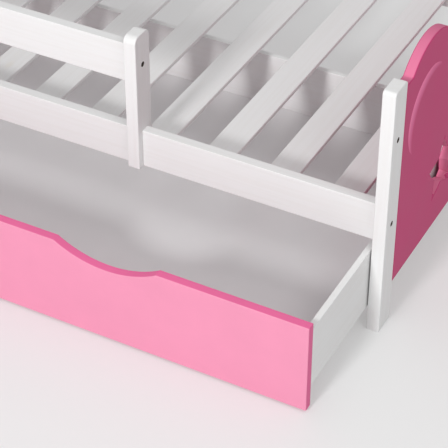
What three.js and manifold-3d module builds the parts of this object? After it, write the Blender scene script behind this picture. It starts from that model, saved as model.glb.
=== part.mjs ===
// Toddler bed for a 1600 x 800 mm mattress: painted pine frame, lobed end boards with a moon and stars,
// a front barrier and one full-length drawer on castors, drawn pulled out. Millimetres, +Z up.
// X runs along the bed with the foot end at +X, the front is at -Y, and Z = 0 is the floor. The pieces are
// drawn round the middle of the bed frame, and the last lines move them so that the origin lies under the
// middle of the whole bed with its drawer out.
import * as THREE from "three";
import Module from "manifold-3d";

const wasm = await Module();
wasm.setup();

// ---- driving sizes ----
const mattressLength = 1600;
const mattressWidth = 800;
const mattressEndGap = 6;
const mattressSideGap = 2.5;
const endBoardThickness = 20;
const legWidth = 25;
const legDepth = 50;
const footLegHeight = 525;
const headLegHeight = 625;
const legTopRadius = 7;
const railThickness = 20;
const railHeight = 80;
const railBottom = 198;
const ledgerWidth = 25;
const ledgerHeight = 20;
const ledgerEndGap = 10;
const slatCount = 12;
const slatWidth = 60;
const slatThickness = 10;
const slatEndGap = 2;
const firstSlatSpace = 64;

// End boards: everything is measured from a leg's edge or down from the leg's top.
const boardBottom = 86;
const shoulderDrop = 11;
const lobeRadius = 125;
const lobeFromLeg = 113;
const lobeDrop = 99.5;
const dipDrop = 85;
const moonRadius = 86;
const moonFromLeg = 109;
const moonDrop = 125;
const moonCore = { radius: 94.5, along: 27.4, down: 25.6 };
const moonDepth = 13.5;
const moonRound = 39;
const moonSweep = Math.PI / 3;
const starTip = 71;
const starWaist = 36;
const starReach = 56;
const starTipRoot = 52;
const starCarveDepth = 7;
const starEdgeRoom = 40;
const stars = {
  low: { fromFrontLeg: 213, drop: 315, scale: 1 },
  middle: { pastMiddle: 24.5, drop: 190, scale: 0.7 },
  high: { fromBackLeg: 120, drop: 150, scale: 0.85 },
};

// Barrier: a board between the head leg and a forked post that sits over the rail.
const entryWidth = 474;
const barrierHeight = 80;
const barrierThickness = 20;
const barrierGap = 100;
const postTopAbove = 25;
const postTopRadius = 14;
const postBackTongue = 40;
const forkClearance = 0.4;

// Bolts and barrel nuts.
const boltRadius = 3;
const boltHeadRadius = 5;
const boltHeadHeight = 5;
const boltPastNut = 15;
const boltSocketAcross = 4;
const boltSocketDepth = 3;
const counterbore = 8;
const nutRadius = 5;
const nutLength = 13;
const nutFromEnd = 30;
const drillPastBolt = 2;
const bore = 0.3;
const dowelRadius = 5;
const dowelLength = 60;
const dowelAboveBolt = 62;
const dowelEndGap = 1;
const screwRadius = 2.2;
const screwHeadRadius = 4.4;
const screwHeadSink = 3;
const screwLength = 30;
const screwPoint = 3;

// Drawer.
const drawerOut = 265;
const drawerBackRoom = 75;
const drawerLegGap = 1.5;
const drawerTopGap = 2;
const drawerFloorGap = 5;
const frontThickness = 18;
const notchWidth = 210;
const notchDepth = 30;
const sideThickness = 12;
const sideInset = 1;
const sideBelowFloor = 5;
const sideBelowFront = 14;
const floorThickness = 6;
const grooveDepth = 6;
const battenWidth = 50;
const battenThickness = 10;
const battenFromSide = 166.5;
const battenEndGap = 4;

// Castors.
const wheelRadius = 20;
const wheelWidth = 12;
const hubWidth = 15;
const hubRadius = 8;
const axleRadius = 2.5;
const forkThickness = 3;
const forkTop = 3;
const forkOverWheel = 2;
const forkFootRadius = 8;
const wheelTopGap = 2;
const wheelDish = 2;
const wheelEase = 1;
const wheelRim = 5;
const axleOut = 1;
const castorFromEnd = 70;

// ---- worked out from the sizes above ----
const seam = 0.3;
const overcut = 1;
const innerHalf = mattressLength / 2 + mattressEndGap;
const halfLength = innerHalf + endBoardThickness;
const legInside = halfLength - legWidth;
const railSetback = (legDepth - railThickness) / 2;
const railInside = mattressWidth / 2 + mattressSideGap;
const railOutside = railInside + railThickness;
const halfWidth = railOutside + railSetback;
const legBack = halfWidth - legDepth;
const railTop = railBottom + railHeight;
const ledgerTop = railBottom + ledgerHeight;
const boltLine = (railInside + railOutside) / 2;
const railBoltHeight = (railBottom + railTop) / 2;
const boltLength = legWidth - counterbore + nutFromEnd + boltPastNut;
const dowelHeight = railBoltHeight + dowelAboveBolt;
const barrierBottom = railTop + barrierGap;
const barrierBoltHeight = barrierBottom + barrierHeight / 2;
const postRight = legInside - entryWidth;
const postLeft = postRight - legWidth;
const postTop = barrierBottom + barrierHeight + postTopAbove;

const white = { color: 0xe9e9e8, roughness: 0.5, metalness: 0 };
const pink = { color: 0xf08fb8, roughness: 0.45, metalness: 0 };
const steel = { color: 0xb9bcc0, roughness: 0.35, metalness: 1 };
const blackPlastic = { color: 0x2b2c2e, roughness: 0.6, metalness: 0 };
const birch = { color: 0xd8bd90, roughness: 0.65, metalness: 0 };

const bed = new THREE.Group();
bed.name = "toddler_bed";

function add(name, geometry, finish, parent = bed) {
  const mesh = new THREE.Mesh(geometry, new THREE.MeshStandardMaterial(finish));
  mesh.name = name;
  parent.add(mesh);
  return mesh;
}

const span = (a, b) => [Math.min(a, b), Math.max(a, b)];

// ---- shapes ----
// A box from its lowest to its highest corner, so pieces that share a plane share the very same number.
function block([x0, x1], [y0, y1], [z0, z1]) {
  const geometry = new THREE.BoxGeometry(1, 1, 1);
  const p = geometry.attributes.position;
  for (let i = 0; i < p.count; i++) {
    p.setXYZ(i, p.getX(i) > 0 ? x1 : x0, p.getY(i) > 0 ? y1 : y0, p.getZ(i) > 0 ? z1 : z0);
  }
  return geometry;
}

// A flat outline drawn in (Y, Z), made solid from X = x0 to x1.
function slabAlongX(outline, [x0, x1], curveSegments = 24) {
  const geometry = new THREE.ExtrudeGeometry(outline, { depth: 1, bevelEnabled: false, curveSegments });
  const p = geometry.attributes.position;
  for (let i = 0; i < p.count; i++) p.setXYZ(i, p.getZ(i) > 0.5 ? x1 : x0, p.getX(i), p.getY(i));
  return geometry;
}

// A flat outline drawn in (X, Z), made solid from Y = y0 to y1.
function slabAlongY(outline, [y0, y1], curveSegments = 24) {
  const geometry = new THREE.ExtrudeGeometry(outline, { depth: 1, bevelEnabled: false, curveSegments });
  const p = geometry.attributes.position;
  for (let i = 0; i < p.count; i++) p.setXYZ(i, p.getX(i), p.getZ(i) > 0.5 ? y0 : y1, p.getY(i));
  return geometry;
}

// A rod about an axis parallel to X (or Y), from one end to the other.
function rodX(radius, [x0, x1], y, z, segments = 32) {
  return new THREE.CylinderGeometry(radius, radius, x1 - x0, segments)
    .rotateZ(-Math.PI / 2)
    .translate((x0 + x1) / 2, y, z);
}

function rodY(radius, x, [y0, y1], z, segments = 32) {
  return new THREE.CylinderGeometry(radius, radius, y1 - y0, segments).translate(x, (y0 + y1) / 2, z);
}

// ---- solid work with manifold-3d ----
function toSolid(geometry) {
  const corners = geometry.index ? geometry.toNonIndexed() : geometry;
  const mesh = new wasm.Mesh({
    numProp: 3,
    vertProperties: new Float32Array(corners.attributes.position.array),
    triVerts: Uint32Array.from({ length: corners.attributes.position.count }, (_, i) => i),
  });
  mesh.merge();
  return new wasm.Manifold(mesh);
}

function toGeometry(solid) {
  const mesh = solid.getMesh();
  const geometry = new THREE.BufferGeometry();
  geometry.setAttribute("position", new THREE.BufferAttribute(mesh.vertProperties.slice(), 3));
  geometry.setIndex(new THREE.BufferAttribute(mesh.triVerts.slice(), 1));
  const flat = geometry.toNonIndexed();
  flat.computeVertexNormals();
  return flat;
}

function cut(geometry, ...tools) {
  return toGeometry(tools.reduce((solid, tool) => solid.subtract(toSolid(tool)), toSolid(geometry)));
}

// ---- fasteners ----
// A stepped hole for a bolt through an upright: clearance hole and counterbore on the outer (side) face.
function boltHole(outer, inner, y, z) {
  const past = Math.sign(outer - inner) * overcut;
  const seat = outer - Math.sign(outer - inner) * counterbore;
  return [
    rodX(boltRadius + bore, span(outer + past, inner - past), y, z),
    rodX(boltHeadRadius + bore, span(outer + past, seat), y, z),
  ];
}

// The hole for the bolt's end in a board's end grain, and the cross hole for its barrel nut.
function nutHoles(end, side, y, z, innerFace, into) {
  const xs = span(end + side * overcut, end - side * (nutFromEnd + boltPastNut + drillPastBolt));
  const ys = span(innerFace - into * overcut, innerFace + into * (nutLength + 2 * seam));
  return [rodX(boltRadius + bore, xs, y, z), rodY(nutRadius + bore, end - side * nutFromEnd, ys, z)];
}

function bolt(outer, side, y, z) {
  const head = outer - side * counterbore;
  const profile = [
    [0, 0],
    [boltRadius, 0],
    [boltRadius, boltLength],
    [boltHeadRadius, boltLength],
    [boltHeadRadius, boltLength + boltHeadHeight],
    [0, boltLength + boltHeadHeight],
  ].map(([r, h]) => new THREE.Vector2(r, h));
  const turned = new THREE.LatheGeometry(profile, 32);
  const corner = boltSocketAcross / Math.sqrt(3);
  const socketMiddle = boltLength + 1.5 * boltHeadHeight - boltSocketDepth;
  const socket = new THREE.CylinderGeometry(corner, corner, boltHeadHeight, 6).translate(0, socketMiddle, 0);
  return cut(turned, socket)
    .rotateZ(side > 0 ? -Math.PI / 2 : Math.PI / 2)
    .translate(head - side * (boltLength - seam), y, z);
}

function barrelNut(x, middle, boltY, z) {
  const half = nutLength / 2;
  const reach = nutRadius + overcut;
  const body = rodY(nutRadius, x, [middle - half, middle + half], z);
  return cut(body, rodX(boltRadius + bore, [x - reach, x + reach], boltY, z));
}

// ---- legs ----
function uprightOutline(y0, y1, z0, z1, radius) {
  const outline = new THREE.Shape();
  outline.moveTo(y0, z0);
  outline.lineTo(y1, z0);
  outline.lineTo(y1, z1 - radius);
  outline.absarc(y1 - radius, z1 - radius, radius, 0, Math.PI / 2);
  outline.lineTo(y0 + radius, z1);
  outline.absarc(y0 + radius, z1 - radius, radius, Math.PI / 2, Math.PI);
  outline.closePath();
  return outline;
}

function leg(name, end, side, height) {
  const outline = uprightOutline(...span(side * legBack, side * halfWidth), 0, height, legTopRadius);
  const body = slabAlongX(outline, span(end * halfLength, end * legInside), 8);
  const holes = [railBoltHeight, barrierBoltHeight].flatMap((z) =>
    boltHole(end * halfLength, end * legInside, side * boltLine, z),
  );
  const dowel = rodY(
    dowelRadius + bore,
    end * (halfLength - endBoardThickness / 2),
    span(side * (legBack - overcut), side * (legBack + dowelLength / 2 + dowelEndGap)),
    dowelHeight,
  );
  add(name, cut(body, ...holes, dowel), white);
}

// ---- rails, ledgers and slats ----
function sideRail(name, side) {
  const faces = span(side * railInside, side * railOutside);
  const body = block([-legInside, legInside], faces, [railBottom, railTop]);
  const holes = [-1, 1].flatMap((end) =>
    nutHoles(end * legInside, end, side * boltLine, railBoltHeight, side * railInside, side),
  );
  const screw = side < 0 ? [screwHole()] : [];
  add(name, cut(body, ...holes, ...screw), white);
}

function slats() {
  const pitch = (2 * (innerHalf - firstSlatSpace) - slatWidth) / (slatCount - 1);
  const reach = railInside - slatEndGap;
  for (let i = 0; i < slatCount; i++) {
    const middle = -innerHalf + firstSlatSpace + slatWidth / 2 + i * pitch;
    const edges = [middle - slatWidth / 2, middle + slatWidth / 2];
    const body = block(edges, [-reach, reach], [ledgerTop, ledgerTop + slatThickness]);
    add("slat_" + String(i + 1).padStart(2, "0"), body, white);
  }
}

// ---- end boards ----
// Two round lobes joined by one hollow arc that is tangent to both.
function boardOutline(height) {
  const lobe = { y: legBack - lobeFromLeg, z: height - lobeDrop };
  const shoulder = height - shoulderDrop;
  const dip = height - dipDrop;
  const rise = dip - lobe.z;
  const hollow = (lobe.y ** 2 + rise ** 2 - lobeRadius ** 2) / (2 * (lobeRadius - rise));
  const start = Math.asin((shoulder - lobe.z) / lobeRadius);
  const meet = Math.atan2(dip + hollow - lobe.z, lobe.y);
  const outline = new THREE.Shape();
  outline.moveTo(-legBack, boardBottom);
  outline.lineTo(legBack, boardBottom);
  outline.lineTo(legBack, shoulder);
  outline.absarc(lobe.y, lobe.z, lobeRadius, start, Math.PI - meet, false);
  outline.absarc(0, dip + hollow, hollow, -meet, meet - Math.PI, true);
  outline.absarc(-lobe.y, lobe.z, lobeRadius, meet, Math.PI - start, false);
  outline.lineTo(-legBack, shoulder);
  outline.closePath();
  return outline;
}

// The moon is a disc sunk into the outer face, less a core whose edge rounds over: what is left to cut is
// deepest along the outer arc and rises to nothing along the inner one.
function moon(end, height) {
  const face = end * halfLength;
  const y = -legBack + moonFromLeg;
  const z = height - moonDrop;
  const disc = rodX(moonRadius, span(face + end * overcut, face - end * moonDepth), y, z, 96);
  const steps = 10;
  const above = 2 * overcut;
  const profile = [new THREE.Vector2(0, above), new THREE.Vector2(moonCore.radius - overcut, above)];
  for (let i = 0; i <= steps; i++) {
    const t = (i / steps) * moonSweep;
    const outwards = moonCore.radius + moonRound * Math.sin(t);
    profile.push(new THREE.Vector2(outwards, -moonRound * (1 - Math.cos(t))));
  }
  profile.push(new THREE.Vector2(0, -moonRound * (1 - Math.cos(moonSweep))));
  const core = new THREE.LatheGeometry(profile.reverse(), 120)
    .rotateZ(end > 0 ? -Math.PI / 2 : Math.PI / 2)
    .translate(face, y + moonCore.along, z - moonCore.down);
  return toGeometry(toSolid(disc).subtract(toSolid(core)));
}

// A star goes through the board up to starReach; a V cutter finishes each tip on the outer face.
function star(end, height, y, { drop, scale }) {
  const z = Math.max(height - drop, boardBottom + starEdgeRoom + scale * starTip);
  const face = end * halfLength;
  const at = (radius, angle) => [y + scale * radius * Math.cos(angle), z + scale * radius * Math.sin(angle)];
  const hole = new THREE.Shape();
  const cuts = [];
  for (let i = 0; i < 5; i++) {
    const tip = Math.PI / 2 + (i * 2 * Math.PI) / 5;
    const left = at(starWaist, tip + Math.PI / 5);
    const right = at(starWaist, tip - Math.PI / 5);
    const point = at(starTip, tip);
    const share = (starTip - starReach) / (starTip - starWaist * Math.cos(Math.PI / 5));
    const mix = (a, b) => [b[0] + (a[0] - b[0]) * share, b[1] + (a[1] - b[1]) * share];
    const nearRight = mix(right, point);
    const nearLeft = mix(left, point);
    if (i === 0) hole.moveTo(...right);
    else hole.lineTo(...right);
    hole.lineTo(...nearRight);
    hole.lineTo(...nearLeft);
    const root = at(starTipRoot, tip);
    const grow = 1 + overcut / starCarveDepth;
    const corners = [nearRight, nearLeft, point].map(([a, b]) => [
      face + end * overcut, root[0] + (a - root[0]) * grow, root[1] + (b - root[1]) * grow,
    ]);
    cuts.push(wasm.Manifold.hull([...corners, [face - end * starCarveDepth, ...root]]));
  }
  hole.closePath();
  const through = toSolid(slabAlongX(hole, span(face + end * overcut, end * (innerHalf - overcut))));
  return toGeometry(cuts.reduce((solid, tip) => solid.add(tip), through));
}

function endBoard(name, end, height) {
  const body = slabAlongX(boardOutline(height), span(end * innerHalf, end * halfLength), 36);
  const dowels = [-1, 1].map((side) =>
    rodY(
      dowelRadius + bore,
      end * (halfLength - endBoardThickness / 2),
      span(side * (legBack + overcut), side * (legBack - dowelLength / 2 - dowelEndGap)),
      dowelHeight,
    ),
  );
  const holes = [
    star(end, height, -legBack + stars.low.fromFrontLeg, stars.low),
    star(end, height, stars.middle.pastMiddle, stars.middle),
    star(end, height, legBack - stars.high.fromBackLeg, stars.high),
  ];
  add(name, cut(body, moon(end, height), ...holes, ...dowels), pink);
}

function boardDowel(name, end, side) {
  const half = dowelLength / 2;
  const x = end * (halfLength - endBoardThickness / 2);
  add(name, rodY(dowelRadius, x, [side * legBack - half, side * legBack + half], dowelHeight, 24), birch);
}

// ---- barrier ----
const screwHeight = railTop - postBackTongue / 2;
const screwX = (postLeft + postRight) / 2;

function screwHole() {
  const y = [-legBack - screwLength - overcut, -legBack + overcut];
  return rodY(screwRadius + bore, screwX, y, screwHeight);
}

function barrier() {
  const outline = uprightOutline(-halfWidth, -legBack, railBottom, postTop, postTopRadius);
  const upright = slabAlongX(outline, [postLeft, postRight], 12);
  const wide = [postLeft - overcut, postRight + overcut];
  const slot = block(
    wide,
    [-railOutside - forkClearance, -railInside + forkClearance],
    [railBottom - overcut, railTop],
  );
  const backRelief = block(
    wide,
    [-railInside - overcut, -legBack + overcut],
    [railBottom - overcut, railTop - postBackTongue],
  );
  const sink = [-legBack - screwHeadSink, -legBack + overcut];
  const head = rodY(screwHeadRadius + bore, screwX, sink, screwHeight);
  const holes = boltHole(postRight, postLeft, -boltLine, barrierBoltHeight);
  add("barrier_post", cut(upright, slot, backRelief, ...holes, screwHole(), head), white);

  const edges = [barrierBottom, barrierBottom + barrierHeight];
  const faces = [-boltLine - barrierThickness / 2, -boltLine + barrierThickness / 2];
  const board = block([-legInside, postLeft], faces, edges);
  const ends = [
    ...nutHoles(-legInside, -1, -boltLine, barrierBoltHeight, faces[1], -1),
    ...nutHoles(postLeft, 1, -boltLine, barrierBoltHeight, faces[1], -1),
  ];
  add("barrier_board", cut(board, ...ends), white);
  const profile = [
    [0, 0],
    [screwRadius, screwPoint],
    [screwRadius, screwLength - screwHeadSink],
    [screwHeadRadius, screwLength - screwHeadSink + 2 * seam],
    [screwHeadRadius, screwLength - 2 * seam],
    [0, screwLength - 2 * seam],
  ].map(([r, h]) => new THREE.Vector2(r, h));
  const screw = new THREE.LatheGeometry(profile, 24).translate(screwX, -legBack - screwLength, screwHeight);
  add("barrier_post_screw", screw, steel);
}

// ---- fasteners in place ----
function fasteners() {
  for (const [endName, end] of [["foot", 1], ["head", -1]]) {
    for (const [sideName, side] of [["front", -1], ["back", 1]]) {
      const where = endName + "_" + sideName;
      const y = side * boltLine;
      add("rail_bolt_" + where, bolt(end * halfLength, end, y, railBoltHeight), steel);
      const nutY = side * (railInside + nutLength / 2 + seam);
      add("rail_nut_" + where, barrelNut(end * (legInside - nutFromEnd), nutY, y, railBoltHeight), steel);
      boardDowel("board_dowel_" + where, end, side);
    }
  }
  const y = -boltLine;
  const nutY = -boltLine + barrierThickness / 2 - nutLength / 2 - seam;
  add("barrier_bolt_head", bolt(-halfLength, -1, y, barrierBoltHeight), steel);
  add("barrier_bolt_post", bolt(postRight, 1, y, barrierBoltHeight), steel);
  add("barrier_nut_head", barrelNut(-legInside + nutFromEnd, nutY, y, barrierBoltHeight), steel);
  add("barrier_nut_post", barrelNut(postLeft - nutFromEnd, nutY, y, barrierBoltHeight), steel);
}

// ---- drawer, drawn in the bed's frame at the place where it is pulled out ----
const drawer = new THREE.Group();
bed.add(drawer);

const frontHalf = legInside - drawerLegGap;
const frontFace = -railOutside - drawerOut;
const frontBack = frontFace + frontThickness;
const frontTop = railBottom - drawerTopGap;
const drawerDepth = railOutside + railInside - drawerBackRoom;
const sideOutside = frontHalf - sideInset;
const sideInside = sideOutside - sideThickness;
const drawerBack = frontFace + drawerDepth;
const backInside = drawerBack - sideThickness;
const battenBottom = 2 * wheelRadius + wheelTopGap + forkTop;
const floorBottom = battenBottom + battenThickness;
const floorTop = floorBottom + floorThickness;
const sideBottom = floorBottom - sideBelowFloor;
const sideTop = frontTop - sideBelowFront;

function drawerFront() {
  const notch = (notchWidth ** 2 / 4 + notchDepth ** 2) / (2 * notchDepth);
  const half = Math.asin(notchWidth / 2 / notch);
  const outline = new THREE.Shape();
  outline.moveTo(-frontHalf, drawerFloorGap);
  outline.lineTo(frontHalf, drawerFloorGap);
  outline.lineTo(frontHalf, frontTop);
  for (const middle of [frontHalf / 2, -frontHalf / 2]) {
    const centre = frontTop - notchDepth + notch;
    outline.absarc(middle, centre, notch, -Math.PI / 2 + half, -Math.PI / 2 - half, true);
  }
  outline.lineTo(-frontHalf, frontTop);
  outline.closePath();
  const groove = block([-sideInside - grooveDepth, sideInside + grooveDepth],
    [frontBack - grooveDepth, frontBack + overcut], [floorBottom - seam, floorTop + seam]);
  add("drawer_front", cut(slabAlongY(outline, [frontFace, frontBack], 20), groove), pink, drawer);
}

function drawerBox() {
  const heights = [sideBottom, sideTop];
  const groove = [floorBottom - seam, floorTop + seam];
  for (const [name, side] of [["drawer_side_head", -1], ["drawer_side_foot", 1]]) {
    const body = block(span(side * sideInside, side * sideOutside), [frontBack, drawerBack], heights);
    const slot = block(
      span(side * (sideInside - overcut), side * (sideInside + grooveDepth)),
      [frontBack - overcut, drawerBack - grooveDepth],
      groove,
    );
    add(name, cut(body, slot), white, drawer);
  }
  const back = block([-sideInside, sideInside], [backInside, drawerBack], heights);
  const slot = block(
    [-sideInside - overcut, sideInside + overcut], [backInside - overcut, backInside + grooveDepth], groove,
  );
  add("drawer_back", cut(back, slot), white, drawer);
  const reach = sideInside + grooveDepth - seam;
  const depth = [frontBack - grooveDepth + seam, backInside + grooveDepth - seam];
  add("drawer_floor", block([-reach, reach], depth, [floorBottom, floorTop]), white, drawer);
}

function castor(name, x, y) {
  const halfGap = hubWidth / 2 + seam;
  const halfFork = halfGap + forkThickness;
  const halfLong = wheelRadius + forkOverWheel;
  const plateBottom = battenBottom - forkTop;
  const cheek = new THREE.Shape();
  cheek.moveTo(y - halfLong, battenBottom);
  cheek.lineTo(y - halfLong, plateBottom);
  cheek.lineTo(y - forkFootRadius, wheelRadius);
  cheek.absarc(y, wheelRadius, forkFootRadius, Math.PI, 2 * Math.PI, false);
  cheek.lineTo(y + halfLong, plateBottom);
  cheek.lineTo(y + halfLong, battenBottom);
  cheek.closePath();
  const body = slabAlongX(cheek, [x - halfFork, x + halfFork], 12);
  const gap = block([x - halfGap, x + halfGap], [y - 2 * halfLong, y + 2 * halfLong], [0, plateBottom]);
  const axleHole = rodX(axleRadius + bore, [x - 2 * halfFork, x + 2 * halfFork], y, wheelRadius, 24);
  add("castor_fork_" + name, cut(body, gap, axleHole), blackPlastic, drawer);

  const rim = wheelWidth / 2;
  const hub = hubWidth / 2;
  const halfProfile = [
    [axleRadius + bore, hub],
    [hubRadius, hub],
    [hubRadius, rim - wheelDish],
    [wheelRadius - wheelRim, rim - wheelDish],
    [wheelRadius - wheelRim + wheelEase, rim],
    [wheelRadius - wheelEase, rim],
    [wheelRadius, rim - wheelEase],
  ];
  const other = halfProfile.map(([r, h]) => [r, -h]);
  const profile = [...other, ...halfProfile.reverse(), other[0]].map(([r, h]) => new THREE.Vector2(r, h));
  const wheel = new THREE.LatheGeometry(profile, 40).rotateZ(-Math.PI / 2).translate(x, y, wheelRadius);
  add("castor_wheel_" + name, wheel, blackPlastic, drawer);
  const ends = [x - halfFork - axleOut, x + halfFork + axleOut];
  add("castor_axle_" + name, rodX(axleRadius, ends, y, wheelRadius, 24), steel, drawer);
}

function battensAndCastors() {
  const ys = [frontBack + battenEndGap, backInside - battenEndGap];
  for (const [endName, end] of [["head", -1], ["foot", 1]]) {
    const x = end * (sideInside - battenFromSide);
    const width = [x - battenWidth / 2, x + battenWidth / 2];
    add("floor_batten_" + endName, block(width, ys, [battenBottom, floorBottom]), birch, drawer);
    castor(endName + "_front", x, frontBack + castorFromEnd);
    castor(endName + "_back", x, drawerBack - castorFromEnd);
  }
}

leg("leg_foot_front", 1, -1, footLegHeight);
leg("leg_foot_back", 1, 1, footLegHeight);
leg("leg_head_front", -1, -1, headLegHeight);
leg("leg_head_back", -1, 1, headLegHeight);
sideRail("side_rail_front", -1);
sideRail("side_rail_back", 1);
for (const [name, side] of [["slat_ledger_front", -1], ["slat_ledger_back", 1]]) {
  const reach = legInside - ledgerEndGap;
  const faces = span(side * railInside, side * (railInside - ledgerWidth));
  add(name, block([-reach, reach], faces, [railBottom, ledgerTop]), white);
}
slats();
endBoard("footboard", 1, footLegHeight);
endBoard("headboard", -1, headLegHeight);
barrier();
fasteners();
drawerFront();
drawerBox();
battensAndCastors();

bed.position.y = -(halfWidth + frontFace) / 2;

export default bed;
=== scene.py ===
"""Looks of the toddler bed: painted pine, painted fibreboard and a drawer on castors."""

from __future__ import annotations

import logging
import math
from dataclasses import dataclass, field
from enum import Enum
from typing import Any, Callable, Iterable, Sequence

import bmesh
import bpy
from mathutils import Matrix, Vector


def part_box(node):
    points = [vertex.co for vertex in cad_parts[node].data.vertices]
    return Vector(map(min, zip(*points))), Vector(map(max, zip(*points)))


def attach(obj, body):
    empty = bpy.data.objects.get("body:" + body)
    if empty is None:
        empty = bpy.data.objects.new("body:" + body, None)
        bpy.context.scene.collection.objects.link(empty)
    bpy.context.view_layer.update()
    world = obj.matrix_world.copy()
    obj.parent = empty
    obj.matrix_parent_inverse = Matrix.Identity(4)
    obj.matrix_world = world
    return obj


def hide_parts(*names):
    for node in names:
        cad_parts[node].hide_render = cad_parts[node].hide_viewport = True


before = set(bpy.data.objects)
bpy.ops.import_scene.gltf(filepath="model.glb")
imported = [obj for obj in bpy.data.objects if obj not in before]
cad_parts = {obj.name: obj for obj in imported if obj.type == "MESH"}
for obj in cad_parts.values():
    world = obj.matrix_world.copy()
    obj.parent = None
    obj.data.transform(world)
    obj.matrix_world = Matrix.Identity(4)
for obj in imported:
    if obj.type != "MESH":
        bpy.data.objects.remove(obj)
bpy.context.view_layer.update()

log = logging.getLogger("toddler_bed")
MM = 0.001

Point2 = tuple[float, float]
Settings = dict[Any, Any]


class Axis(Enum):
    """A direction of the row frame, used for a board's length or a prism's thickness."""

    X = 0
    Y = 1
    Z = 2


class Body(Enum):
    """The moving bodies of the frame that pieces ride on."""

    BED = "bed_frame"
    DRAWER = "drawer"


class Slot(Enum):
    """The record's material slots."""

    WHITE = "white_paint"
    PINK = "pink_paint"
    STEEL = "zinc_steel"
    BARE = "bare_wood"
    PLASTIC = "black_plastic"


# ---------------------------------------------------------------- materials


def linear(hex_colour: str) -> tuple[float, float, float, float]:
    """Turns an sRGB hex colour into linear values.

    Args:
        hex_colour: six hex digits, such as "f2a0c0".

    Returns:
        Red, green, blue and an alpha of 1, linear.
    """
    parts = [int(hex_colour[i : i + 2], 16) / 255 for i in (0, 2, 4)]
    r, g, b = (p / 12.92 if p <= 0.04045 else ((p + 0.055) / 1.055) ** 2.4 for p in parts)
    return (r, g, b, 1.0)


def add_node(
    tree: bpy.types.NodeTree, kind: str, feeds: Settings | None = None, **settings: Any
) -> bpy.types.Node:
    """Adds one node with its settings and links.

    Args:
        tree: the material's or world's node tree.
        kind: the node's type name.
        feeds: socket name or index to a value, or to the output socket that feeds it.
        settings: the node's own properties.

    Returns:
        The new node.
    """
    node = tree.nodes.new(kind)
    for name, value in settings.items():
        setattr(node, name, value)
    for name, value in (feeds or {}).items():
        if isinstance(value, bpy.types.NodeSocket):
            tree.links.new(value, node.inputs[name])
        else:
            node.inputs[name].default_value = value
    return node


def board_grain(tree: bpy.types.NodeTree) -> bpy.types.NodeSocket:
    """The place in its board that a mesh carries, in metres, with the grain along the third value."""
    return add_node(tree, "ShaderNodeAttribute", attribute_name="grain").outputs["Vector"]


def face_mark(tree: bpy.types.NodeTree, name: str) -> bpy.types.NodeSocket:
    """A mark from 0 to 1 that a piece's faces may carry; it is 0 where they don't."""
    return add_node(tree, "ShaderNodeAttribute", attribute_name=name).outputs["Fac"]


def shortened(tree: bpy.types.NodeTree, place: bpy.types.NodeSocket, share: float) -> bpy.types.NodeSocket:
    """The same place with its distances along the grain shortened, which draws a pattern out that way."""
    return add_node(tree, "ShaderNodeMapping", {"Vector": place, "Scale": (1.0, 1.0, share)}).outputs[0]


def noise(
    tree: bpy.types.NodeTree,
    place: bpy.types.NodeSocket,
    size: float,
    detail: float = 2.0,
    roughness: float = 0.5,
) -> bpy.types.Node:
    """Adds noise.

    Args:
        tree: the material's node tree.
        place: where the noise is looked up, in metres.
        size: how far apart its lumps are, in metres.
        detail: how many finer layers lie on it.
        roughness: how strong the finer layers are.

    Returns:
        The noise node.
    """
    feeds = {"Vector": place, "Scale": 1 / size, "Detail": detail, "Roughness": roughness}
    return add_node(tree, "ShaderNodeTexNoise", feeds)


def spread(
    tree: bpy.types.NodeTree, value: bpy.types.NodeSocket, seen: Point2, wanted: Point2 = (0.0, 1.0),
    eased: bool = False,
) -> bpy.types.NodeSocket:
    """Maps a value from one range to another.

    Args:
        tree: the material's node tree.
        value: the value to map.
        seen: the range that comes in.
        wanted: the range that goes out.
        eased: True for a soft start and end.

    Returns:
        The mapped value, kept inside the wanted range.
    """
    feeds = {
        "Value": value, "From Min": seen[0], "From Max": seen[1], "To Min": wanted[0], "To Max": wanted[1],
    }
    kind = "SMOOTHSTEP" if eased else "LINEAR"
    return add_node(tree, "ShaderNodeMapRange", feeds, interpolation_type=kind).outputs[0]


def math_of(
    tree: bpy.types.NodeTree, operation: str, *values: bpy.types.NodeSocket | float
) -> bpy.types.NodeSocket:
    """One sum of values or sockets, such as "MULTIPLY" or "ADD"."""
    return add_node(tree, "ShaderNodeMath", dict(enumerate(values)), operation=operation).outputs[0]


def blend(
    tree: bpy.types.NodeTree, share: bpy.types.NodeSocket, under: bpy.types.NodeSocket | str, over: str
) -> bpy.types.NodeSocket:
    """Lays one colour over another.

    Args:
        tree: the material's node tree.
        share: how much of the upper colour shows, from 0 to 1.
        under: the lower colour, as hex digits or a socket.
        over: the upper colour, as hex digits.

    Returns:
        The blended colour.
    """
    lower = linear(under) if isinstance(under, str) else under
    return add_node(tree, "ShaderNodeMix", {0: share, 6: lower, 7: linear(over)}, data_type="RGBA").outputs[2]


def relief_of(
    tree: bpy.types.NodeTree, height: bpy.types.NodeSocket, distance: float, strength: float
) -> bpy.types.NodeSocket:
    """Turns a height from 0 to 1 into a bumped normal, with the distance in metres."""
    return add_node(
        tree, "ShaderNodeBump", {"Height": height, "Distance": distance, "Strength": strength}
    ).outputs[0]


@dataclass(frozen=True)
class Finish:
    """A material: its name and how its nodes are wired."""

    name: str

    def wire(self, tree: bpy.types.NodeTree) -> Settings:
        """Adds the pattern nodes and says what feeds the shader.

        Args:
            tree: the material's node tree.

        Returns:
            Shader socket name to value or output socket.
        """
        raise NotImplementedError

    def material(self) -> bpy.types.Material:
        """Makes the material once and returns it each time."""
        made = bpy.data.materials.get(self.name)
        if made is not None:
            return made
        made = bpy.data.materials.new(self.name)
        made.use_nodes = True
        tree = made.node_tree
        tree.nodes.clear()
        shader = add_node(tree, "ShaderNodeBsdfPrincipled", self.wire(tree))
        add_node(tree, "ShaderNodeOutputMaterial", {"Surface": shader.outputs["BSDF"]})
        return made


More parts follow.
